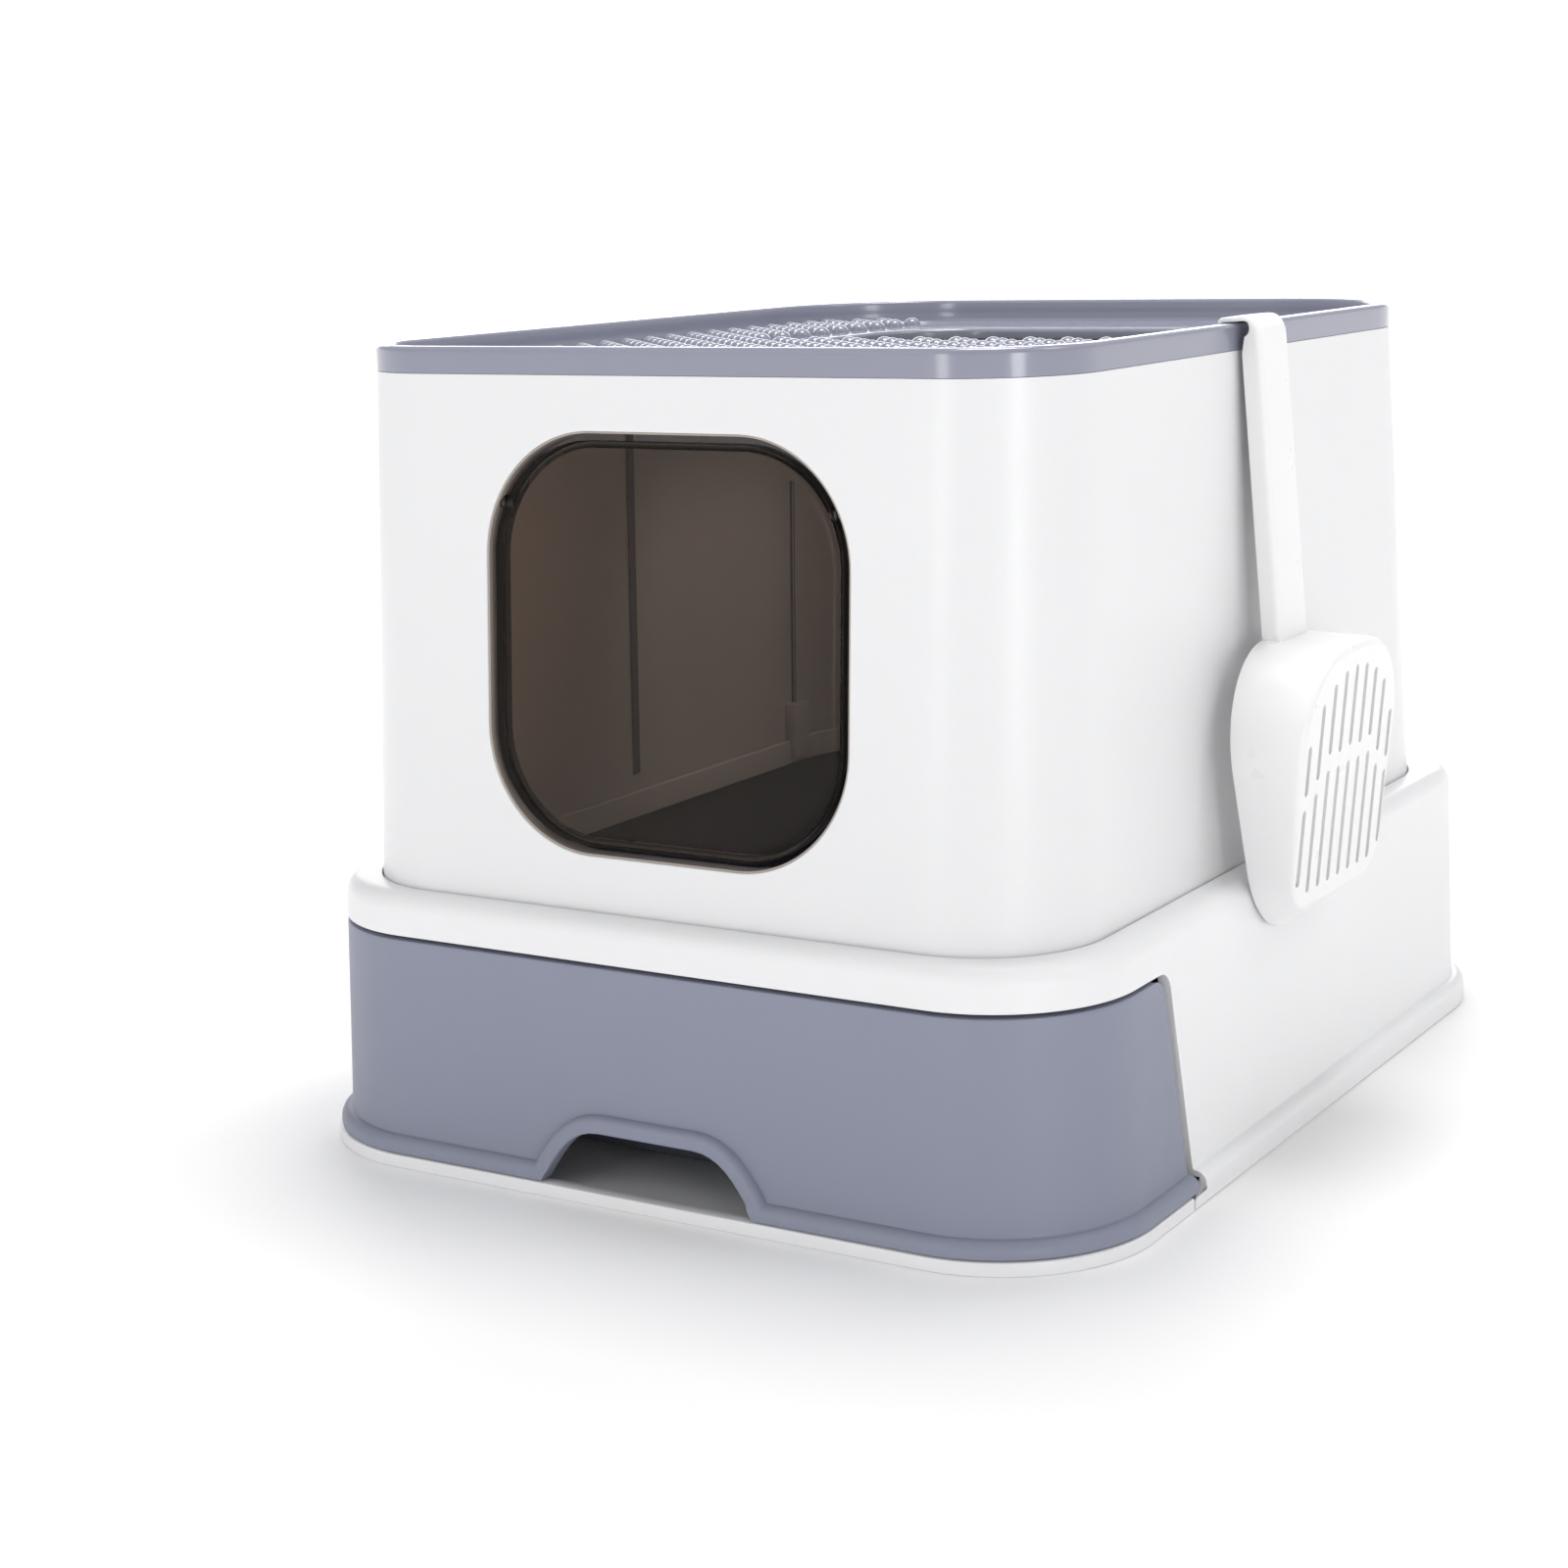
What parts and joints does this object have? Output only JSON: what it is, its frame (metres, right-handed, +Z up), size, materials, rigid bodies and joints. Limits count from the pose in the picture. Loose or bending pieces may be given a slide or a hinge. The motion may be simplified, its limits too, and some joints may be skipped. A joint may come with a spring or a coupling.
{
  "type": "cat litter box with hood",
  "caption": "Hooded cat litter box with a pull-out drawer pan, a swinging entry flap, a lift-off lid with a top-entry hatch and bumpy tread, and a hanging slotted scoop.",
  "frame": {"origin": "middle of the underside, on the floor", "axes": "+X to the right, +Y to the rear, +Z up; the drawer and the flap face -Y"},
  "size_m": [0.4326, 0.52, 0.3679],
  "materials": {
    "white": "satin white",
    "lower_white": "satin white",
    "drawer_grey": "matte blue-grey",
    "pan_grey": "matte dark blue-grey",
    "lid_grey": "satin blue-grey",
    "smoke": "clear smoke-brown",
    "pin_dark": "dark",
    "scoop_white": "satin white"
  },
  "bodies": {
    "base": {"base_plate": "lower_white", "base_shell": "lower_white"},
    "drawer": {"litter_pan": "pan_grey", "drawer_front": "drawer_grey"},
    "hood": {"hood_front": "white", "hood_rear": "white", "joint_strip_left": "lid_grey", "joint_strip_right": "lid_grey", "hood_clips": "white"},
    "flap": {"door_flap": "smoke", "flap_pin_left": "pin_dark", "flap_pin_right": "pin_dark"},
    "lid": {"lid": "lid_grey"},
    "scoop": {"scoop": "scoop_white"}
  },
  "joints": [
    {"name": "drawer_slide", "type": "slide", "parent": "base", "child": "drawer", "axis": [0, -1, 0], "range_m": [0, 0.4]},
    {"name": "hood_lift", "type": "slide", "parent": "base", "child": "hood", "axis": [0, 0, 1], "range_m": [0, 0.3]},
    {"name": "flap_hinge", "type": "hinge", "parent": "hood", "child": "flap", "pos_m": [0, -0.22254, 0.298], "axis": [1, 0, 0], "range_deg": [-75, 75]},
    {"name": "lid_lift", "type": "slide", "parent": "hood", "child": "lid", "axis": [0, 0, 1], "range_m": [0, 0.25]},
    {"name": "scoop_lift", "type": "slide", "parent": "lid", "child": "scoop", "axis": [0, 0, 1], "range_m": [0, 0.2]}
  ]
}
